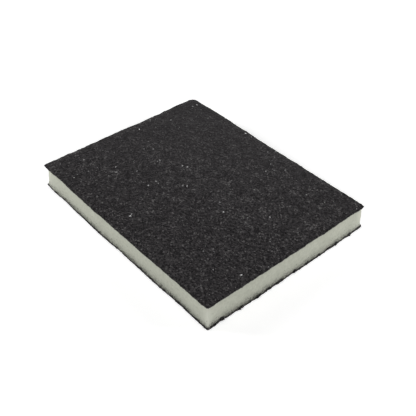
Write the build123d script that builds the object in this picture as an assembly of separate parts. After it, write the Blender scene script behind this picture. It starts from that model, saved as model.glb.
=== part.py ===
"""Sanding sponge: a block of fine foam with an abrasive grit coat bonded to each broad face.

Millimetres. The origin is the middle of the lower working face: +X runs along the long side,
+Y along the short side, and +Z up through the pad to the upper working face.

The pad is die-cut from a coated sheet. The cut pinches the border of both coats towards the foam,
and the foam springs back from it, so that its sides draw in behind the coats: sharply under the
upper one, and in a slow flare above the lower one.
"""

from build123d import *
import os
from math import cos, exp, pi, sin

# The pad
PAD_LENGTH = 123.0
PAD_WIDTH = 96.0
PAD_THICKNESS = 13.5
SIDE_BOW = 0.45  # how far each side swells out at its middle
CORNER_RADIUS = 0.5  # three crisp corners
WORN_CORNER_RADIUS = 2.5  # the corner at -X, +Y, rubbed round

# The abrasive coats
COAT_THICKNESS = 0.6
PINCH_REACH = 2.6  # width of the pinched border
PINCH_DROP = 0.3  # how far the border falls away from the working face
RIM_ROUNDING = 0.2  # radius of the coat's outer edge

# The foam's drawn-in sides
LIP_SETBACK = 0.35  # foam edge behind the coat's edge, where the two meet
WAIST_DEPTH = 1.3  # foam wall behind the coat's edge, at its deepest
BELLY = 0.25  # how far the middle of the wall swells back out
FLARE_HEIGHT = 1.1  # height over which the lower flare dies away
LEDGE_HEIGHT = 0.25  # height over which the step under the upper coat dies away
WALL_SECTIONS = 13  # outlines that the foam's wall is lofted through

# Heights that follow from them
UPPER_RIM = PAD_THICKNESS - COAT_THICKNESS - PINCH_DROP  # underside of the upper coat at its edge
WALL_TOP = UPPER_RIM + PINCH_DROP * LIP_SETBACK / PINCH_REACH  # where the foam's wall meets it
WALL_FOOT = PAD_THICKNESS - WALL_TOP
WALL_HEIGHT = WALL_TOP - WALL_FOOT


def outline(inset, height):
    """The pad's outline, drawn in by an inset: four bowed sides with rounded corners."""
    x = PAD_LENGTH / 2 - SIDE_BOW - inset
    y = PAD_WIDTH / 2 - SIDE_BOW - inset
    corners = [(x, y), (-x, y), (-x, -y), (x, -y)]
    crests = [(0, y + SIDE_BOW), (-x - SIDE_BOW, 0), (0, -y - SIDE_BOW), (x + SIDE_BOW, 0)]
    sides = [
        ThreePointArc(corners[side], crests[side], corners[(side + 1) % 4]) for side in range(4)
    ]
    plate = Face(Wire(sides))
    worn = plate.vertices().sort_by_distance(Vector(-x, y))[0]
    plate = plate.fillet_2d(WORN_CORNER_RADIUS, [worn])
    for corner in (Vector(x, y), Vector(-x, -y), Vector(x, -y)):
        crisp = plate.vertices().sort_by_distance(corner)[0]
        plate = plate.fillet_2d(CORNER_RADIUS, [crisp])
    return Pos(0, 0, height) * plate


def crown(rim):
    """The shallow hump that the pinched border leaves, from a rim height up to its flat."""
    edge, seat = outline(0, rim), outline(LIP_SETBACK, rim + WALL_TOP - UPPER_RIM)
    return loft([edge, seat, outline(PINCH_REACH, rim + PINCH_DROP)], ruled=True)


def upper_coat():
    """A sheet of constant thickness, dished down at its border over the foam's crown."""
    rim_top = UPPER_RIM + COAT_THICKNESS
    edge_band = extrude(outline(0, UPPER_RIM), COAT_THICKNESS)
    sheet = edge_band + crown(rim_top) - crown(UPPER_RIM)
    outer_edge = sheet.edges().filter_by_position(Axis.Z, rim_top, rim_top)
    return fillet(outer_edge, RIM_ROUNDING)


def lower_coat():
    """The same sheet on the pad's other face."""
    return mirror(upper_coat(), about=Plane.XY.offset(PAD_THICKNESS / 2))


def wall_inset(height):
    """How far the foam's wall lies behind the coats' edge, at a height above its lower edge."""
    flare = exp(-height / FLARE_HEIGHT)
    ledge = exp(-(WALL_HEIGHT - height) / LEDGE_HEIGHT)
    belly = BELLY * sin(pi * height / WALL_HEIGHT) ** 2
    return WAIST_DEPTH - belly - (WAIST_DEPTH - LIP_SETBACK) * max(flare, ledge)


def foam():
    """The foam block: a drawn-in wall between two crowned faces that fit inside the coats."""
    rises = [(1 - cos(pi * step / (WALL_SECTIONS - 1))) / 2 for step in range(WALL_SECTIONS)]
    heights = [WALL_HEIGHT * rise for rise in rises]
    lower_flat = outline(PINCH_REACH, COAT_THICKNESS)
    wall = [outline(wall_inset(height), WALL_FOOT + height) for height in heights]
    upper_flat = outline(PINCH_REACH, PAD_THICKNESS - COAT_THICKNESS)
    return loft([lower_flat, *wall, upper_flat], ruled=True)


if __name__ == "__main__":
    os.makedirs("parts", exist_ok=True)
    export_step(foam(), "parts/foam_core.step")
    export_step(upper_coat(), "parts/upper_grit_coat.step")
    export_step(lower_coat(), "parts/lower_grit_coat.step")
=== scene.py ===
from math import cos, radians, sin

import bpy
import numpy as np
from mathutils import Matrix, Vector


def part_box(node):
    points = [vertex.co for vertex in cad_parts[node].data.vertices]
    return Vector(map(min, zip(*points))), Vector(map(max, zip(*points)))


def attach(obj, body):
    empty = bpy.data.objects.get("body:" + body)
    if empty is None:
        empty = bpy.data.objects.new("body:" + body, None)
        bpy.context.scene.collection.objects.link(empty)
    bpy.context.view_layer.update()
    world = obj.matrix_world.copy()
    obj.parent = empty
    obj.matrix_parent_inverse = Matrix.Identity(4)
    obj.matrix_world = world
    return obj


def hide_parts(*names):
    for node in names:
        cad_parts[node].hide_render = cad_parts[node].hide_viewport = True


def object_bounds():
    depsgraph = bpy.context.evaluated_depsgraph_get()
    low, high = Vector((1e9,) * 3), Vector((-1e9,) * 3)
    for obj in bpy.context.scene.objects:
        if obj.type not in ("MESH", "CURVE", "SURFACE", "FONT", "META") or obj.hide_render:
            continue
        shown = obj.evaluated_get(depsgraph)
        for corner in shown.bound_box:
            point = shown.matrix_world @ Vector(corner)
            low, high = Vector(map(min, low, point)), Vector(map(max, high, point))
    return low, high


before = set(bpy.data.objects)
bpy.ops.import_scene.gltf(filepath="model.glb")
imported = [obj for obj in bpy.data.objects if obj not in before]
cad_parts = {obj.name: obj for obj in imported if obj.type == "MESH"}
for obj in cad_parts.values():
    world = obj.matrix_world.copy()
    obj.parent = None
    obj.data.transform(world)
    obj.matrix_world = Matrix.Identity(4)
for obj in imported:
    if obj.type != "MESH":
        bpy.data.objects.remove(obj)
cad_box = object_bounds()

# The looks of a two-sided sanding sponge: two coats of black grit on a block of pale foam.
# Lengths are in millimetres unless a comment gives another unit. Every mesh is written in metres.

MM = 0.001

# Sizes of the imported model
LENGTH, WIDTH, THICKNESS = [(high - low) / MM for low, high in zip(*cad_box)]
COAT_LOW, COAT_HIGH = [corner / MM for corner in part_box("upper_grit_coat")]
_, FOAM_HIGH = [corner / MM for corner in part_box("foam_core")]
COAT_THICKNESS = THICKNESS - FOAM_HIGH.z
PINCH_DROP = THICKNESS - COAT_LOW.z - COAT_THICKNESS
LIP_SETBACK = COAT_HIGH.x - FOAM_HIGH.x

# The pad's outline and pinched border, as in the solids
SIDE_BOW = 0.45
CORNER_RADIUS = 0.5
WORN_CORNER_RADIUS = 2.5
PINCH_REACH = 2.6

# The foam's drawn-in wall, as in the solids
WAIST_DEPTH = 1.3
BELLY = 0.25
FLARE_HEIGHT = 1.1
LEDGE_HEIGHT = 0.25

# The coats' sheets. pitch is the spacing of a sheet's points. Its cut edge wanders in and out by
# fray, waves up and down by wave, and swells towards the foam by swell. long_sides is how ragged
# its long sides are beside the short ones.
SHEETS = {
    "upper": {
        "seed": 11,
        "pitch": 0.385,
        "fray": 0.12,
        "wave": 0.2,
        "long_sides": 0.8,
        "swell": 0.05,
    },
    "lower": {
        "seed": 47,
        "pitch": 0.480,
        "fray": 0.15,
        "wave": 0.4,
        "long_sides": 0.35,
        "swell": 0.16,
    },
}
JITTER = 0.3  # how far a point lies off its place in the grid, either way, in cells
GRAIN_RELIEF = 0.07  # height of single grains, either way
SKIN_DEPTH = 0.22  # mean surface below the highest grains
MOST_FRAY = 0.2  # keeps the foam's lip under the coat
FRAY_REACH = 1.5  # how far in from the edge its fray is felt
WAVE_REACH = 2.5  # and its waves
RIM_GRAIN_REACH = 0.4  # and the grains on its rim
RIM_GRAIN_SHARE = 0.7  # height of those, beside the ones on the face
SHORT_SIDE_REACH = 4.0  # distance from a short side at which a long one gets more ragged
SHORT_SIDE_BLEND = 2.0  # distance over which it gets as ragged as the short one
SWELL_START = 0.3  # depth in the edge below which it swells, and over which that grows
SWELL_LEAN = 0.8  # how much more it swells at +X than at -X

# Layers of noise, each (height, cell). All but the clumps are shares of the sheet's own numbers.
CLUMP_NOISE = ((0.10, 0.8), (0.05, 2.6))
FRAY_NOISE = ((1.0, 1.2), (0.6, 0.5))
FRAY_MEAN = 0.6
WAVE_NOISE = ((0.8, 3.4), (0.5, 1.5))
SWELL_NOISE = ((2.0, 3.6),)
SWELL_MEAN = 0.6

# Round the cut edge and in underneath: (inset, depth below the coat's outer face) of each row of
# points, and how far out the row lies on the map
RIM_INSET = 0.10  # where the sheet's face ends and this profile begins
RIM_PROFILE = (
    (0.03, 0.20),
    (0.00, 0.30),
    (0.02, 0.44),
    (0.12, 0.57),
    (0.50, 0.60),
    (1.20, 0.60),
    (2.60, 0.60),
)
RIM_UNFOLDED = (0.15, 0.27, 0.42, 0.6, 0.98, 1.68, 3.08)
MAP_MARGIN = 0.5  # round all of it

# The loose crystals, whose sizes are radii
LAYERS = {"upper": (19500, 19500), "lower": (15500,)}  # crystals in each piece of them on the face
CRYSTAL_SIZES = (0.12, 0.28)
CRYSTAL_RISE = 0.02  # how far they sit above the sheet
TIP_LENGTHS = (0.6, 1.3)  # of a crystal's six tips, beside its size
TIP_SHIFT = 0.25  # how far a tip is moved along each axis, at most, beside the crystal's size
PROUD = 0.3  # how far a crystal may stand out of the pad's box
GLINTS = 420  # bright grains on each coat, most of them near the smaller size
GLINT_SIZES = (0.20, 0.76)
GLINT_RARITY = 8  # power that makes the larger ones rare
GLINT_RISE = 0.07  # how far they sit above the sheet
GLINT_MARGIN = 3  # points of the sheet along its edge that carry none
RIM_CRYSTALS = 1200  # along each coat's cut edge
RIM_ROWS = slice(1, 5)  # the rows of its points that carry them
RIM_CRYSTAL_SIZES = (0.08, 0.17)
CRYSTAL_SEED = 100  # added to the sheet's seed for the crystals on its face
GLINT_SEED = 204  # and for its bright grains, rim crystals and lumps

# The clumps of grit along the lower coat's edge
LUMPS = 50
LUMP_ROW = 3  # the row of the edge's points that they lie on
LUMP_JITTER = 0.35  # how far one lies off its even place, either way, beside their spacing
LUMP_SIZES = (0.42, 0.70)
LUMP_SIDE = 2.0  # those nearer than this to the side at +X are on it
SIDE_LUMPS = 0.5  # size of the others, beside theirs
LUMP_LENGTH = 1.5  # how much longer they are along the edge, beside their size
LUMP_RISE = 0.35  # how far they sit above the middle of the edge
LUMP_CLEARANCE = 3.0  # distance from the corners over which they grow to their size
LUMP_CRYSTALS = 85  # in each
LUMP_CRYSTAL_SIZES = (0.12, 0.24)

# How worn the grit is: from 0 to 1 over this span of the way to the rubbed corner, which runs from
# -1, the corner across from it, to 1
WEAR_SPAN = (-0.4, 0.8)
WEAR = 0.8  # how even the tones have become where it is most worn
WORN_TONE = (0.0220, 0.0200, 0.0211, 1)
WORN_FLAT = 0.75  # how much less the grains stand out there
WORN_ROUGH = 0.2  # how much duller they are there
WORN_SMALL = 0.25  # how much smaller the bright grains are there

# The grit's material
SHEEN = 0.1  # specular level of the grit, and of the foam
GRAIN_SIZE = 0.64  # of the cells that share one tone of black
GRIT_TONES = [
    (0.00, (0.0030, 0.0022, 0.0029, 1)),
    (0.25, (0.0098, 0.0084, 0.0096, 1)),
    (0.55, (0.0262, 0.0237, 0.0251, 1)),
    (0.85, (0.0490, 0.0452, 0.0466, 1)),
    (0.93, (0.0640, 0.0598, 0.0610, 1)),
    (1.00, (0.1300, 0.1235, 0.1235, 1)),
]
GRIT_ROUGHNESS = (0.55, 0.3)  # of the darkest and the lightest grains
GRIT_BUMP = 0.4  # strength of the fine bump on every grain
GRIT_BUMP_SIZE = 0.16
GRIT_BUMP_HEIGHT = 0.05
PATCH_SIZE = 4.0  # of the patches with more light or more dark grains
PATCHINESS = 0.85  # how far they shift the tones, at most
PATCHES_SPAN = (-0.55, -0.1)  # where on the way to the worn corner they start and are strongest
# Tones of the bright grains: partly their own pale colour, partly painted sparkle
PALE_GRAIN_AND_SPARKLE_TONES = [
    (0.35, (0.03, 0.03, 0.03, 1)),
    (0.50, (0.15, 0.15, 0.148, 1)),
    (0.65, (0.45, 0.45, 0.44, 1)),
]
GLINT_BLOTCH = 9.0  # size of the blotches in which the painted sparkle is brighter or darker
GLINT_ROUGHNESS = 0.24
GLINT_IOR = 2.6

# The foam
FOAM_SEED = 5
FOAM_PITCH = 0.26
FOAM_CORNER_RADIUS = 0.1
FOAM_NOISE = ((0.10, 6.0), (0.05, 2.2), (0.022, 0.55))
FOAM_ROUGH = 0.012  # how far each of its points may stand out or in, on top of that
TUCK = 0.1  # how far its ends go into the coats, out of sight
STRIP_HEIGHT = 1.15  # of the map's strip for one side of the wall, beside the wall's own
STRIP_START = 0.004  # where the first one starts
STRIP_MARGIN = 2.0  # beyond the end of the longest
ENDS_LIFT = 4.3  # how many strips up the map the two ends start
CORNER_LEANS = {  # how far the wall leans out at the foot and at the top of the corner at (x, y)
    (-1, -1): (0.25, -0.45),
    (1, -1): (0.45, -0.45),
    (1, 1): (0.45, 0.30),
    (-1, 1): (0.45, -0.45),
}
CORNER_SPAN = 4.0  # distance from the corner over which that fades
SPECKS = 6000  # loose grit on the wall
SPECK_SIZES = (0.05, 0.15)
SPECK_FALL = 0.8  # height over which the specks thin out
SPECK_NOISE = ((0.8, 3.0),)
SPECK_SEEDS = (9, 21)  # for their places, and for the patches with more of them

# The foam's material
FOAM_TONES = [(0.3, (0.478, 0.491, 0.413, 1)), (0.7, (0.594, 0.608, 0.522, 1))]
FOAM_CLOUD = 1.3  # size of its mottles
FOAM_CELL = 0.3  # size of the cells in its bump
FOAM_BUMP = 0.35
FOAM_BUMP_HEIGHT = 0.06
FOAM_ROUGHNESS = 0.9
# Painted highlight: the foam is paler near the pad's corners, standing in for the light they catch
PAINTED_CORNER_HIGHLIGHT = (0.70, 0.71, 0.62, 1)
HIGHLIGHT_INSET = 1.5  # how far inside the pad's corners the painted highlights have their middle
HIGHLIGHT_FADE = 2.2  # distance over which they fade
# Colour of the black dust at the wall's foot, and of the painted shade under the upper coat
DUST_AND_SHADE_TONE = (0.05, 0.05, 0.043, 1)
DUST_FALL = 1.22  # height over which the lower coat's dust fades
TOP_SHADE = 0.8  # how strong the painted shade under the upper coat is, beside the lower coat's dust
TOP_SHADE_FALL = 0.9
DUSTY_SPAN = (-0.035, 0.157)  # of x - 2y in metres, which grows towards the corner at (1, -1)
DUSTY = (0.62, 1.08)  # how much dust there is at its two ends
DUST_GRAINS = (0.5, 2.2)  # (size, strength) of the fine grain in the dust and in the painted shade, and of its streaks
DUST_STREAKS = (1.6, 1.2)
STREAK_SQUEEZE = (1, 1, 0.25)  # makes the streaks upright

# How this pad is off its true outline
SLACK = 0.3  # the sides at -X and +Y bow out less than the other two
DROOP = 0.35  # the lower coat's edge at +X hangs this much lower
SAG = 0.2  # the upper coat's edge at -Y hangs this much lower in its middle
SWAY = (0.3, 0.3, 0.2)  # how far its border wanders along x, y and z
SWAY_CELL = 9.0  # over which it wanders, and the border's width
SWAY_SEEDS = (10151, 370, 2343)
REACH = {  # how far the corner at (x, y) of the lower coat, 0, or the upper, 1, stands out and up
    (-1, -1, 0): (0.45, 0.2, 1.1),
    (1, 1, 0): (0.05, 0.0, 0.6),
    (-1, 1, 0): (0.3, 0.3, 0.0),
    (1, 1, 1): (0.0, 0.0, 0.3),
}
STANDS = [  # (axis, side, level) of an edge, and how far it stands out by place along it, -1 to 1
    ((0, -1, 1), ((-1, 0.2), (-0.93, 0.45), (-0.5, 0.27), (0, 0.0))),
    ((1, 1, 1), ((-1, 0.0), (-0.8, 0.22), (-0.4, 0.05), (0, 0.0))),
    ((0, 1, 1), ((-1, -0.17), (0.0, -0.17), (0.4, 0.0))),
    ((0, 1, 0), ((-1, 0.25), (-0.7, 0.1), (-0.2, 0.2), (0.2, 0.1), (0.6, -0.03))),
]
SIDE_POWER = 9  # how closely each kind of bend keeps to its side or corner
DROOP_POWER = 24
SAG_POWER = 18
CORNER_POWER = 6

# The surroundings
FLOOR_HALF = 3.0  # metres
FLOOR_COLOUR = (0.9, 0.9, 0.9, 1)
GLOW_SPAN = (0.15, 0.7)  # metres from the middle over which the floor's glow grows
GLOW = (0.5, 1.0)
SKY_LIGHT = 0.12  # strength of the white background as a light
WHITE = (1, 1, 1, 1)
LAMPS = {  # place, diameter and power in watts
    "left": ((-465, -350, 250), 250, 2.4),
    "right": ((300, 330, 180), 200, 1.15),
    "back": ((-420, 480, 420), 110, 0.4),
    "front": ((350, -330, 350), 250, 0.8),
}
CAMERA_AZIMUTH = 48.92  # degrees
CAMERA_ELEVATION = 40.52
CAMERA_ROLL = 0.30
CAMERA_DISTANCE = 334.9
CAMERA_AIM = (9.68, -2.79, THICKNESS / 2)
CAMERA_LENS = 61.83
CAMERA_SENSOR = 36


def noise(points, cell, seed):
    """Smooth noise from -1 to 1 at points (n, 3): random values at the corners of cubic cells."""
    rng = np.random.default_rng(seed)
    value, shuffle = rng.uniform(-1, 1, 4096), rng.permutation(4096)
    place = np.asarray(points) / cell
    base = np.floor(place).astype(np.int64)
    part = place - base
    part = part * part * (3 - 2 * part)
    total = np.zeros(len(place))
    for corner in np.ndindex(2, 2, 2):
        x, y, z = (base + corner).T
        pick = shuffle[(shuffle[(shuffle[x & 4095] + y) & 4095] + z) & 4095]
        total += value[pick] * np.prod(np.where(corner, part, 1 - part), axis=1)
    return total


def relief(points, layers, seed):
    """The sum of layers of noise, each (height, cell), whose seeds count up from a seed."""
    return sum(
        height * noise(points, cell, seed + step) for step, (height, cell) in enumerate(layers)
    )


def ease(x):
    """A smooth step from 0 to 1 as x goes from 0 to 1."""
    x = np.clip(x, 0, 1)
    return x * x * (3 - 2 * x)


def near(across, power):
    """From 0 at the middle to 1 at a side. A higher power keeps it closer to the side."""
    return np.clip(across, 0, 1) ** power


def plan(u, v, inset, crisp=CORNER_RADIUS):
    """Plan places for u, v from -1 to 1 across the outline that lies an inset within the pad's."""
    half_x = LENGTH / 2 - SIDE_BOW - inset
    half_y = WIDTH / 2 - SIDE_BOW - inset
    x = u * (half_x + SIDE_BOW * (1 - v * v))
    y = v * (half_y + SIDE_BOW * (1 - u * u))
    worn = (u < 0) & (v > 0)
    radius = np.where(worn, WORN_CORNER_RADIUS, crisp)
    # The square at each corner becomes a quarter of a disc
    across = np.clip(1 + (np.abs(x) - half_x) / radius, 0, 1)
    along = np.clip(1 + (np.abs(y) - half_y) / radius, 0, 1)
    x += np.sign(x) * radius * across * (np.sqrt(1 - along**2 / 2) - 1)
    y += np.sign(y) * radius * along * (np.sqrt(1 - across**2 / 2) - 1)
    return x, y


def worn_at(points):
    """How worn the grit is at points (n, 3), from 0 to 1: what grit_material does with nodes."""
    start, end = WEAR_SPAN
    return np.clip((points[:, 1] / WIDTH - points[:, 0] / LENGTH - start) / (end - start), 0, 1)


def off_true(points):
    """Bends the true form into this pad's, whose sides and corners stand in, out, up or down."""
    x, y, z = np.asarray(points, float).T
    u, v, low = 2 * x / LENGTH, 2 * y / WIDTH, 1 - z / THICKNESS
    bent = np.stack([x, y, z], 1)
    bent[:, 0] += SLACK * (1 - np.minimum(v * v, 1)) * near(-u, SIDE_POWER)
    bent[:, 1] -= SLACK * (1 - np.minimum(u * u, 1)) * near(v, SIDE_POWER)
    bent[:, 2] = np.maximum(z - DROOP * (near(u, DROOP_POWER) * low), np.minimum(z, 0.0))
    bent[:, 2] -= SAG * (1 - np.minimum(u * u, 1)) * near(-v, SAG_POWER) * (1 - low)
    for (side_x, side_y, level), (out_x, out_y, up) in REACH.items():
        share = near(u * side_x, CORNER_POWER) * near(v * side_y, CORNER_POWER)
        share *= 1 - low if level else low
        bent += share[:, None] * (out_x * side_x, out_y * side_y, up)
    for (axis, side, level), stand in STANDS:
        across, along = (v, u) if axis else (u, v)
        reach = np.interp(along, *zip(*stand)) * near(across * side, SIDE_POWER)
        bent[:, axis] += side * reach * (1 - low if level else low)
    border = 1 - ease(np.minimum(LENGTH / 2 - abs(x), WIDTH / 2 - abs(y)) / SWAY_CELL)
    for axis, (reach, seed) in enumerate(zip(SWAY, SWAY_SEEDS)):
        bent[:, axis] += reach * border * noise(points, SWAY_CELL, seed)
    bent[:, 2] = np.clip(bent[:, 2], 0, THICKNESS)
    return bent


def rim_walk(columns, rows):
    """Grid steps (i, j) round the border of a grid, anticlockwise from the corner (0, 0)."""
    i = [*range(columns), *[columns] * rows, *range(columns, 0, -1), *[0] * rows]
    j = [*[0] * columns, *range(rows), *[rows] * columns, *range(rows, 0, -1)]
    return np.array(i), np.array(j)


def ring_faces(rings):
    """Quads between rings of points, given as arrays of point numbers."""
    faces = []
    for inner, outer in zip(rings[:-1], rings[1:]):
        faces.append(np.stack([inner, outer, np.roll(outer, -1), np.roll(inner, -1)], 1))
    return np.concatenate(faces)


def triangles(quads, turned):
    """Splits quads, of points or of map places, along one diagonal or, if turned, the other."""
    turned = turned.reshape(-1, *[1] * (quads.ndim - 1))
    quads = np.where(turned, np.roll(quads, 1, axis=1), quads)
    return np.concatenate([quads[:, [0, 1, 2]], quads[:, [0, 2, 3]]])


def mesh_object(name, points, faces, places, material):
    """A piece riding on the body, from points in millimetres, triangles and their map.

    The map, from 0 to 1, has a place for each point or for each face's corner.
    """
    mesh = bpy.data.meshes.new(name)
    mesh.vertices.add(len(points))
    mesh.vertices.foreach_set("co", (off_true(points) * MM).ravel())
    mesh.loops.add(faces.size)
    mesh.loops.foreach_set("vertex_index", faces.ravel().astype(np.int32))
    mesh.polygons.add(len(faces))
    mesh.polygons.foreach_set("loop_start", np.arange(0, faces.size, 3, dtype=np.int32))
    mesh.polygons.foreach_set("use_smooth", np.full(len(faces), False))
    mesh.materials.append(material)
    mesh.update(calc_edges=True)
    mesh.validate()
    obj = bpy.data.objects.new(name, mesh)
    bpy.context.scene.collection.objects.link(obj)
    layer = mesh.uv_layers.new(name="OFBake")
    if len(places) < len(mesh.loops):
        corner = np.empty(len(mesh.loops), np.int32)
        mesh.loops.foreach_get("vertex_index", corner)
        places = places[corner]
    layer.uv.foreach_set("vector", places.astype(np.float32).ravel())
    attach(obj, "root")
    return obj


def grit_sheet(seed, pitch, fray, wave, long_sides, swell):
    """A coat seen from its outer side at +Z: points, triangles, the map, and its face and rim."""
    rng = np.random.default_rng(seed)
    columns, rows = round(LENGTH / pitch), round(WIDTH / pitch)
    j, i = np.mgrid[0 : rows + 1, 0 : columns + 1]
    inner = (i > 0) & (i < columns) & (j > 0) & (j < rows)
    jitter = rng.uniform(-JITTER, JITTER, (2, rows + 1, columns + 1)) * inner
    u = (2 * (i + jitter[0]) / columns - 1).ravel()
    v = (2 * (j + jitter[1]) / rows - 1).ravel()
    to_edge = np.minimum((1 - abs(u)) * LENGTH, (1 - abs(v)) * WIDTH) / 2

    # The face's grid comes first, then one ring of points for each row of the rim
    rim_i, rim_j = rim_walk(columns, rows)
    edge = rim_j * (columns + 1) + rim_i
    count, face_count = len(edge), len(u)
    under = np.arange(face_count + len(RIM_PROFILE) * count) >= face_count
    u = np.concatenate([u, np.tile(u[edge], len(RIM_PROFILE))])
    v = np.concatenate([v, np.tile(v[edge], len(RIM_PROFILE))])
    profile_inset, profile_depth = np.repeat(RIM_PROFILE, count, axis=0).T
    inset = np.concatenate([np.full(face_count, RIM_INSET), profile_inset])
    depth = np.concatenate([np.full(face_count, SKIN_DEPTH), profile_depth])
    to_edge = np.concatenate([to_edge, profile_inset])

    # The cut edge is ragged, and the face is rough
    x, y = plan(u, v, inset)
    flat = np.stack([x, y, 0 * x], 1)
    short_side = ease((abs(x) - LENGTH / 2 + SHORT_SIDE_REACH) / SHORT_SIDE_BLEND)
    ragged = long_sides + (1 - long_sides) * short_side
    fray = fray * ragged * (FRAY_MEAN + relief(flat, FRAY_NOISE, seed + 2))
    fray = np.minimum(fray, MOST_FRAY)
    x, y = plan(u, v, inset + fray * (1 - ease(to_edge / FRAY_REACH)))
    grain = rng.uniform(-1, 1, len(x)) * GRAIN_RELIEF
    grain *= 1 - WORN_FLAT * worn_at(flat)
    rim_grain = RIM_GRAIN_SHARE * grain * (to_edge < RIM_GRAIN_REACH)
    rough = np.where(under, rim_grain, grain + relief(flat, CLUMP_NOISE, seed + 4))
    pinch = PINCH_DROP * (1 - ease(to_edge / PINCH_REACH))
    wave = wave * ragged * (1 - ease(to_edge / WAVE_REACH)) * relief(flat, WAVE_NOISE, seed + 6)
    swell = swell * (SWELL_MEAN + SWELL_LEAN * x / LENGTH)
    swell = swell * np.maximum(0, 1 + relief(flat, SWELL_NOISE, seed + 8))
    depth = depth + swell * ease((depth - SWELL_START) / SWELL_START)
    points = np.stack([x, y, np.minimum(THICKNESS - depth - pinch - wave + rough, THICKNESS)], 1)

    numbers = np.arange(face_count).reshape(rows + 1, columns + 1)
    face = [numbers[:-1, :-1], numbers[:-1, 1:], numbers[1:, 1:], numbers[1:, :-1]]
    rings = [edge, *face_count + np.arange(len(RIM_PROFILE) * count).reshape(-1, count)]
    middle = np.full(count, len(points))
    cap = np.stack([rings[-1], middle, np.roll(rings[-1], -1)], 1)
    points = np.concatenate([points, [[0, 0, points[rings[-1], 2].mean()]]])
    quads = [np.stack(face, -1).reshape(-1, 4), ring_faces(rings)]
    split = [triangles(quad, rng.random(len(quad)) < 0.5) for quad in quads]
    faces = np.concatenate([*split, cap])

    # The map is the plan, with the rim folded outwards round it
    out = np.concatenate([np.zeros(face_count), np.repeat(RIM_UNFOLDED, count)])
    map_x, map_y = plan(u, v, RIM_INSET - out)
    margin = 2 * (RIM_UNFOLDED[-1] + MAP_MARGIN)
    places = np.stack([map_x / (LENGTH + margin), map_y / (WIDTH + margin)], 1) + 0.5
    cap_middle = [[0.001, 0.001]]  # out of sight, so its place is in a corner
    return points, faces, np.concatenate([places, cap_middle]), numbers, rings


# A crystal before it is bent: an octahedron, and its faces on a square map folded out from the top
TIPS = np.array([(1, 0, 0), (-1, 0, 0), (0, 1, 0), (0, -1, 0), (0, 0, 1), (0, 0, -1)], float)
SIDES = np.array(
    [(0, 2, 4), (2, 1, 4), (1, 3, 4), (3, 0, 4), (2, 0, 5), (1, 2, 5), (3, 1, 5), (0, 3, 5)]
)
SQUARE = np.array(
    [
        [(1, 0.5), (0.5, 1), (0.5, 0.5)],
        [(0.5, 1), (0, 0.5), (0.5, 0.5)],
        [(0, 0.5), (0.5, 0), (0.5, 0.5)],
        [(0.5, 0), (1, 0.5), (0.5, 0.5)],
        [(0.5, 1), (1, 0.5), (1, 1)],
        [(0, 0.5), (0.5, 1), (0, 1)],
        [(0.5, 0), (0, 0.5), (0, 0)],
        [(1, 0.5), (0.5, 0), (1, 0)],
    ]
)
SQUARE_MARGIN = 0.08  # between one crystal's square on the map and the next, on each side


def crystals(anchors, sizes, rng):
    """Irregular eight-sided grains at the anchors: points, triangles and their map."""
    count = len(anchors)
    shape = TIPS * rng.uniform(*TIP_LENGTHS, (count, 6, 1))
    shape = shape + rng.uniform(-TIP_SHIFT, TIP_SHIFT, (count, 6, 3))
    turn = rng.normal(size=(count, 4))
    w, a, b, c = (turn / np.linalg.norm(turn, axis=1, keepdims=True)).T
    spin = np.array(
        [
            [1 - 2 * (b * b + c * c), 2 * (a * b - c * w), 2 * (a * c + b * w)],
            [2 * (a * b + c * w), 1 - 2 * (a * a + c * c), 2 * (b * c - a * w)],
            [2 * (a * c - b * w), 2 * (b * c + a * w), 1 - 2 * (a * a + b * b)],
        ]
    ).transpose(2, 0, 1)
    points = np.einsum("nij,nkj->nki", spin, shape) * sizes[:, None, None] + anchors[:, None, :]
    limit = np.array([LENGTH / 2 + PROUD, WIDTH / 2 + PROUD, THICKNESS])
    points = np.clip(points, limit * (-1, -1, 0), limit)
    faces = SIDES + 6 * np.arange(count)[:, None, None]
    across = int(np.ceil(np.sqrt(count)))
    cell = np.stack(np.divmod(np.arange(count), across), 1)[:, None, None]
    places = (cell + SQUARE_MARGIN + (1 - 2 * SQUARE_MARGIN) * SQUARE) / across
    return points.reshape(-1, 3), faces.reshape(-1, 3), places.reshape(-1, 2)


def lumps(rim, rng):
    """Anchors and sizes of the crystals in the long clumps of grit along a rim, biggest at +X."""
    steps = np.arange(LUMPS) + rng.uniform(-LUMP_JITTER, LUMP_JITTER, LUMPS)
    steps = steps * len(rim) / LUMPS
    picked = steps.astype(int) % len(rim)
    radius = rng.uniform(*LUMP_SIZES, LUMPS)
    radius *= np.where(rim[picked, 0] > LENGTH / 2 - LUMP_SIDE, 1.0, SIDE_LUMPS)
    to_corner = LENGTH / 2 + WIDTH / 2 - abs(rim[picked, :2]).sum(1)
    radius *= ease(to_corner / LUMP_CLEARANCE)
    radius = np.repeat(radius, LUMP_CRYSTALS)[:, None]
    way = rng.normal(size=(len(radius), 3))
    way *= rng.random((len(radius), 1)) ** (1 / 3) / np.linalg.norm(way, axis=1, keepdims=True)
    along = np.roll(rim, -1, axis=0) - rim
    along /= np.linalg.norm(along, axis=1, keepdims=True)
    along = np.repeat(along[picked], LUMP_CRYSTALS, axis=0)
    way += LUMP_LENGTH * along * (way * along).sum(1, keepdims=True)
    anchors = np.repeat(rim[picked], LUMP_CRYSTALS, axis=0) + radius * way
    return anchors - (0, 0, LUMP_RISE), rng.uniform(*LUMP_CRYSTAL_SIZES, len(anchors))


def wall_inset(height, wall_height):
    """How far the foam's wall lies behind the coats' edge, as in the solids."""
    flare = np.exp(-height / FLARE_HEIGHT)
    ledge = np.exp(-(wall_height - height) / LEDGE_HEIGHT)
    belly = BELLY * np.sin(np.pi * height / wall_height) ** 2
    return WAIST_DEPTH - belly - (WAIST_DEPTH - LIP_SETBACK) * np.maximum(flare, ledge)


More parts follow.
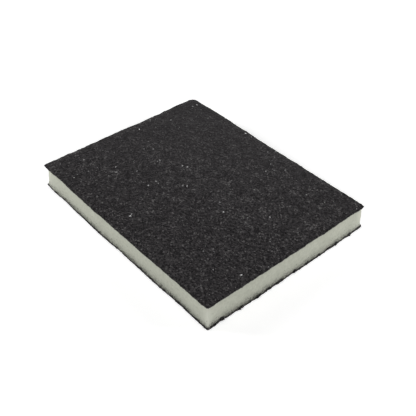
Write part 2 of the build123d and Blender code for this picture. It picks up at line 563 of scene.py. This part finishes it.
def corner_lean(u, v, height, wall_height):
    """How far the foam's wall leans out near its corners."""
    lean = np.zeros(len(u))
    for (side_x, side_y), (at_foot, at_top) in CORNER_LEANS.items():
        quarter = (u * side_x > 0) & (v * side_y > 0)
        lean += quarter * (at_foot + (at_top - at_foot) * height / wall_height)
    to_corner = (1 - abs(u)) * LENGTH / 2 + (1 - abs(v)) * WIDTH / 2
    to_coat = np.minimum(height, wall_height - height)
    return lean * np.exp(-to_corner / CORNER_SPAN) * ease(to_coat)


def foam_wall():
    """The foam block: points, triangles, the map and each point's height over the wall's foot."""
    rng = np.random.default_rng(FOAM_SEED)
    columns, rows = round(LENGTH / FOAM_PITCH), round(WIDTH / FOAM_PITCH)
    i, j = rim_walk(columns, rows)
    count = len(i)
    foot = COAT_THICKNESS + PINCH_DROP
    wall_height = THICKNESS - 2 * foot
    levels = round(wall_height / FOAM_PITCH)
    height = np.repeat(np.arange(levels + 1) * wall_height / levels, count)
    u, v = np.tile(2 * i / columns - 1, levels + 1), np.tile(2 * j / rows - 1, levels + 1)
    x, y = plan(u, v, 0, FOAM_CORNER_RADIUS)
    rough = relief(np.stack([x, y, height], 1), FOAM_NOISE, FOAM_SEED)
    rough = rough + FOAM_ROUGH * rng.uniform(-1, 1, len(x))
    inset = wall_inset(height, wall_height) - corner_lean(u, v, height, wall_height) + rough
    x, y = plan(u, v, inset, FOAM_CORNER_RADIUS)
    z = foot + height
    z = np.where(height <= 0, foot - TUCK, np.where(height >= wall_height, z + TUCK, z))
    points = np.stack([x, y, z], 1)
    rings = np.arange((levels + 1) * count).reshape(-1, count)

    # The wall's map is four strips, one for each side, and its ends lie over them at half size
    side = np.repeat(range(4), [columns, rows, columns, rows])
    start = np.concatenate([np.arange(length) for length in (columns, rows, columns, rows)])
    scale = 1 / (LENGTH + STRIP_MARGIN)
    strip = STRIP_HEIGHT * wall_height * scale
    low = strip * side + np.arange(levels)[:, None] * wall_height / levels * scale + STRIP_START
    high = low + wall_height / levels * scale
    left, right = (np.tile((start + step) * FOAM_PITCH * scale, (levels, 1)) for step in (0, 1))
    corners = [(left, high), (left, low), (right, low), (right, high)]
    quad_places = np.stack([np.stack(corner, -1) for corner in corners], -2).reshape(-1, 4, 2)
    quads = np.concatenate([ring_faces(rings[[k + 1, k]]) for k in range(levels)])
    turned = rng.random(len(quads)) < 0.5
    faces, places = [triangles(quads, turned)], [triangles(quad_places, turned)]
    for ring, middle, order in ((rings[0], 0.25, 1), (rings[-1], 0.75, -1)):
        centre = len(points)
        points = np.concatenate([points, [[0, 0, points[ring[0], 2]]]])
        fan = np.stack([ring, np.full(count, centre), np.roll(ring, -1)], 1)[:, ::order]
        faces.append(fan)
        places.append(points[fan][..., :2] * scale / 2 + (middle, ENDS_LIFT * strip + 0.25))
    height = np.concatenate([height, [0, 0]])
    return points, np.concatenate(faces), np.concatenate(places).reshape(-1, 2), height


class Nodes:
    """Builds nodes in a material or world, whose inputs are values or other nodes' outputs."""

    def __init__(self, owner):
        owner.use_nodes = True
        self.tree = owner.node_tree

    def fill(self, socket, value):
        if isinstance(value, bpy.types.NodeSocket):
            self.tree.links.new(value, socket)
        else:
            socket.default_value = value

    def set(self, node, **inputs):
        """Fills a node's inputs, given by name with _ for a space."""
        for name, value in inputs.items():
            self.fill(node.inputs[name.replace("_", " ")], value)
        return node

    def add(self, kind, **inputs):
        """A new node with its inputs filled."""
        return self.set(self.tree.nodes.new("ShaderNode" + kind), **inputs)

    def calc(self, operation, *values):
        """The result of an operation on values, in order."""
        node = self.add("Math")
        node.operation = operation
        for socket, value in zip(node.inputs, values):
            self.fill(socket, value)
        return node.outputs[0]

    def blend(self, share, first, second):
        """The first colour, with a share of the second in it."""
        node = self.add("Mix")
        node.data_type = "RGBA"
        for place, value in ((0, share), (6, first), (7, second)):
            self.fill(node.inputs[place], value)
        return node.outputs[2]

    def remap(self, value, source, target):
        """A value moved from a source range to a target range, and held within it."""
        names = ("From_Min", "From_Max", "To_Min", "To_Max")
        node = self.add("MapRange", Value=value, **dict(zip(names, (*source, *target))))
        return node.outputs["Result"]

    def ramp(self, source, stops):
        """A colour ramp over a value, from (place, colour) stops."""
        node = self.add("ValToRGB", Fac=source)
        band = node.color_ramp
        while len(band.elements) < len(stops):
            band.elements.new(0.5)
        for element, (place, colour) in zip(band.elements, stops):
            element.position = place
            element.color = colour
        return node.outputs["Color"]

    def texture(self, kind, place, size, **inputs):
        """A texture over places, whose features have a size."""
        return self.add("Tex" + kind, Vector=place, Scale=1 / (size * MM), **inputs)

    def object_place(self):
        return self.add("TexCoord").outputs["Object"]

    def shown_itself(self):
        """1 for rays that show a surface as it is: from the camera, mirrors and glass."""
        path = self.add("LightPath")
        total = path.outputs["Is Camera Ray"]
        for other in ("Is Glossy Ray", "Is Transmission Ray"):
            total = self.calc("MAXIMUM", total, path.outputs[other])
        return total


def new_material(name):
    """A material, its shader and its nodes."""
    material = bpy.data.materials.new(name)
    nodes = Nodes(material)
    return material, nodes.tree.nodes["Principled BSDF"], nodes


def grit_material():
    """Grains in many tones of black, and evener, flatter and duller towards the worn corner."""
    material, shader, nodes = new_material("black_grit")
    place = nodes.object_place()
    cells = nodes.texture("Voronoi", place, GRAIN_SIZE)
    tone = nodes.add("SeparateColor", Color=cells.outputs["Color"]).outputs["Red"]
    x, y, _ = nodes.add("SeparateXYZ", Vector=place).outputs
    y_share = nodes.calc("DIVIDE", y, WIDTH * MM)
    across = nodes.calc("MULTIPLY_ADD", x, -1 / (LENGTH * MM), y_share)
    patches = nodes.texture("Noise", place, PATCH_SIZE, Detail=2.0).outputs["Fac"]
    patchy = nodes.remap(across, PATCHES_SPAN, (0, PATCHINESS))
    tone = nodes.calc("MULTIPLY_ADD", nodes.calc("SUBTRACT", patches, 0.5), patchy, tone)
    worn = nodes.remap(across, WEAR_SPAN, (0, WEAR))
    colour = nodes.blend(worn, nodes.ramp(tone, GRIT_TONES), WORN_TONE)
    dull = nodes.remap(across, WEAR_SPAN, (0, WORN_ROUGH))
    rough = nodes.calc("ADD", nodes.remap(tone, (0, 1), GRIT_ROUGHNESS), dull)
    fine = nodes.texture("Noise", place, GRIT_BUMP_SIZE, Detail=3.0).outputs["Fac"]
    flat = nodes.remap(across, WEAR_SPAN, (0, WORN_FLAT))
    strength = nodes.calc("MULTIPLY_ADD", flat, -GRIT_BUMP, GRIT_BUMP)
    bump = nodes.add("Bump", Height=fine, Strength=strength, Distance=GRIT_BUMP_HEIGHT * MM)
    nodes.set(shader, Base_Color=colour, Roughness=rough, Normal=bump.outputs["Normal"])
    nodes.set(shader, Specular_IOR_Level=SHEEN)
    return material


def glint_material():
    """Bright facets of clear and broken grains, which glint by their IOR and roughness, with pale
    tones that partly paint sparkle into their colour.
    """
    material, shader, nodes = new_material("bright_grain")
    place = nodes.object_place()
    blotch = nodes.texture("Noise", place, GLINT_BLOTCH, Detail=6.0, Roughness=0.8)
    colour = nodes.ramp(blotch.outputs["Fac"], PALE_GRAIN_AND_SPARKLE_TONES)
    nodes.set(shader, Base_Color=colour, Roughness=GLINT_ROUGHNESS, IOR=GLINT_IOR)
    return material


def foam_material():
    """Pale fine foam, with a painted highlight at its corners, black dust from the lower coat on
    the foot of its wall, and painted shade under the upper coat.
    """
    material, shader, nodes = new_material("pale_foam")
    calc = nodes.calc
    place = nodes.object_place()
    clouds = nodes.texture("Noise", place, FOAM_CLOUD, Detail=5.0, Roughness=0.65)
    colour = nodes.ramp(clouds.outputs["Fac"], FOAM_TONES)
    x, y, z = nodes.add("SeparateXYZ", Vector=place).outputs
    # Painted highlight: paler foam near each corner of the pad
    beside = calc("SUBTRACT", calc("ABSOLUTE", x), (LENGTH / 2 - HIGHLIGHT_INSET) * MM)
    behind = calc("SUBTRACT", calc("ABSOLUTE", y), (WIDTH / 2 - HIGHLIGHT_INSET) * MM)
    squares = calc("ADD", calc("MULTIPLY", beside, beside), calc("MULTIPLY", behind, behind))
    corner = calc("EXPONENT", calc("MULTIPLY", calc("SQRT", squares), -1 / (HIGHLIGHT_FADE * MM)))
    colour = nodes.blend(corner, colour, PAINTED_CORNER_HIGHLIGHT)

    fall = calc("MULTIPLY", calc("SUBTRACT", z, COAT_THICKNESS * MM), -1 / (DUST_FALL * MM))
    # Painted shade: the wall is darker just under the upper coat's edge
    climb = calc("MULTIPLY", calc("SUBTRACT", z, FOAM_HIGH.z * MM), 1 / (TOP_SHADE_FALL * MM))
    dusty = nodes.remap(calc("MULTIPLY_ADD", y, -2.0, x), DUSTY_SPAN, DUSTY)
    dust_and_shade = calc("MULTIPLY", calc("EXPONENT", fall), dusty)
    dust_and_shade = calc("MULTIPLY_ADD", calc("EXPONENT", climb), TOP_SHADE, dust_and_shade)
    upright = nodes.add("Mapping", Vector=place, Scale=STREAK_SQUEEZE).outputs["Vector"]
    for where, (size, strength) in ((place, DUST_GRAINS), (upright, DUST_STREAKS)):
        spots = nodes.texture("Noise", where, size, Detail=3.0).outputs["Fac"]
        dust_and_shade = calc("MULTIPLY", dust_and_shade, calc("MULTIPLY_ADD", spots, strength, 1 - strength / 2))
    colour = nodes.blend(calc("MINIMUM", dust_and_shade, 1.0), colour, DUST_AND_SHADE_TONE)
    cells = nodes.texture("Voronoi", place, FOAM_CELL).outputs["Distance"]
    bump = nodes.add("Bump", Height=cells, Strength=FOAM_BUMP, Distance=FOAM_BUMP_HEIGHT * MM)
    nodes.set(shader, Base_Color=colour, Roughness=FOAM_ROUGHNESS, Normal=bump.outputs["Normal"])
    nodes.set(shader, Specular_IOR_Level=SHEEN)
    return material


def grit_piece(side, name, shape, material):
    """A piece of the upper or lower coat, from its points, triangles and map on the upper side."""
    points, faces, places = shape
    if side == "lower":
        points = points * (1, 1, -1) + (0, 0, THICKNESS)
        faces = faces[:, ::-1]
        if len(places) == faces.size:
            places = places.reshape(-1, 3, 2)[:, ::-1].reshape(-1, 2)
    piece = mesh_object(f"{side}_{name}", points, faces, places, material)
    return piece


def coat(side, grit, glint):
    """A coat of grit, with the loose crystals on its face and along its edge."""
    seed = SHEETS[side]["seed"]
    points, faces, places, numbers, rings = grit_sheet(**SHEETS[side])
    sheet = grit_piece(side, "grit_sheet", (points, faces, places), grit)
    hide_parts(f"{side}_grit_coat")

    rng = np.random.default_rng(seed + CRYSTAL_SEED)
    layers = LAYERS[side]
    picked = rng.choice(numbers.ravel(), sum(layers), replace=False)
    for layer, anchors in enumerate(np.split(points[picked], np.cumsum(layers)[:-1])):
        sizes = rng.uniform(*CRYSTAL_SIZES, len(anchors)) * (1 - WORN_FLAT * worn_at(anchors))
        shape = crystals(anchors + (0, 0, CRYSTAL_RISE), sizes, rng)
        grit_piece(side, f"crystals_{layer + 1}", shape, grit)

    rng = np.random.default_rng(seed + GLINT_SEED)
    smallest, largest = GLINT_SIZES
    sizes = smallest + (largest - smallest) * rng.random(GLINTS) ** GLINT_RARITY
    inner = numbers[GLINT_MARGIN:-GLINT_MARGIN, GLINT_MARGIN:-GLINT_MARGIN].ravel()
    anchors = points[rng.choice(inner, GLINTS)] + (0, 0, GLINT_RISE)
    sizes *= 1 - WORN_SMALL * worn_at(anchors)
    grit_piece(side, "bright_grains", crystals(anchors, sizes, rng), glint)

    anchors = points[rng.choice(np.concatenate(rings[RIM_ROWS]), RIM_CRYSTALS, replace=False)]
    sizes = rng.uniform(*RIM_CRYSTAL_SIZES, RIM_CRYSTALS)
    if side == "lower":
        more_anchors, more_sizes = lumps(points[rings[LUMP_ROW]], rng)
        anchors = np.concatenate([anchors, more_anchors])
        sizes = np.concatenate([sizes, more_sizes])
    grit_piece(side, "rim_crystals", crystals(anchors, sizes, rng), grit)


def foam(grit):
    """The foam block, with loose grit on the foot of its wall."""
    points, faces, places, height = foam_wall()
    block = mesh_object("foam_block", points, faces, places, foam_material())
    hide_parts("foam_core")

    place_seed, patch_seed = SPECK_SEEDS
    rng = np.random.default_rng(place_seed)
    patchy = 1 + relief(points * (1, 1, 0), SPECK_NOISE, patch_seed)
    chance = np.where(height > 0, np.exp(-height / SPECK_FALL) * patchy, 0)
    picked = rng.choice(len(points), SPECKS, p=chance / chance.sum())
    anchors = points[picked] + rng.uniform(-0.5, 0.5, (SPECKS, 3)) * FOAM_PITCH
    sizes = rng.uniform(*SPECK_SIZES, SPECKS)
    specks = mesh_object("grit_dust", *crystals(anchors, sizes, rng), grit)


def pale_floor():
    """A floor that glows more where the lamps' light runs out, up to the background's white."""
    mesh = bpy.data.meshes.new("floor")
    corners = [(-1, -1), (1, -1), (1, 1), (-1, 1)]
    mesh.from_pydata([(x * FLOOR_HALF, y * FLOOR_HALF, 0) for x, y in corners], [], [(0, 1, 2, 3)])
    material, shader, nodes = new_material("pale_floor")
    away = nodes.add("VectorMath")
    away.operation = "LENGTH"
    nodes.fill(away.inputs[0], nodes.object_place())
    glow = nodes.remap(away.outputs["Value"], GLOW_SPAN, GLOW)
    glow = nodes.calc("MULTIPLY", nodes.shown_itself(), glow)
    nodes.set(shader, Base_Color=FLOOR_COLOUR, Roughness=1.0, Specular_IOR_Level=0.0)
    nodes.set(shader, Emission_Color=WHITE, Emission_Strength=glow)
    mesh.materials.append(material)
    floor = bpy.data.objects.new("floor", mesh)
    bpy.context.scene.collection.objects.link(floor)


def background():
    """A white background that lights the pad only a little."""
    world = bpy.data.worlds.new("studio")
    bpy.context.scene.world = world
    nodes = Nodes(world)
    strength = nodes.remap(nodes.shown_itself(), (0, 1), (SKY_LIGHT, 1.0))
    nodes.set(nodes.tree.nodes["Background"], Color=WHITE, Strength=strength)


def lamps():
    """Soft round lamps, each facing the middle of the pad."""
    for name, (place, size, power) in LAMPS.items():
        lamp = bpy.data.lights.new(name, "AREA")
        lamp.shape = "DISK"
        lamp.size = size * MM
        lamp.energy = power
        obj = bpy.data.objects.new(name, lamp)
        obj.location = Vector(place) * MM
        obj.rotation_euler = (-Vector(place)).to_track_quat("-Z", "Y").to_euler()
        bpy.context.scene.collection.objects.link(obj)


def camera():
    """The camera, at the photograph's viewing angle."""
    turn, rise, roll = map(radians, (CAMERA_AZIMUTH, CAMERA_ELEVATION, CAMERA_ROLL))
    back = Vector((sin(turn) * cos(rise), -cos(turn) * cos(rise), sin(rise)))
    level = Vector((cos(turn), sin(turn), 0))
    over = back.cross(level)
    right = level * cos(roll) + over * sin(roll)
    up = over * cos(roll) - level * sin(roll)
    data = bpy.data.cameras.new("camera")
    data.lens = CAMERA_LENS
    data.sensor_width = CAMERA_SENSOR
    obj = bpy.data.objects.new("camera", data)
    place = (Vector(CAMERA_AIM) + back * CAMERA_DISTANCE) * MM
    facing = Matrix((right, up, back)).transposed().to_4x4()
    obj.matrix_world = Matrix.Translation(place) @ facing
    bpy.context.scene.collection.objects.link(obj)
    bpy.context.scene.camera = obj


camera()
background()
pale_floor()
lamps()
black_grit, bright_grain = grit_material(), glint_material()
for side in SHEETS:
    coat(side, black_grit, bright_grain)
foam(black_grit)
bpy.context.scene.view_settings.view_transform = "Standard"
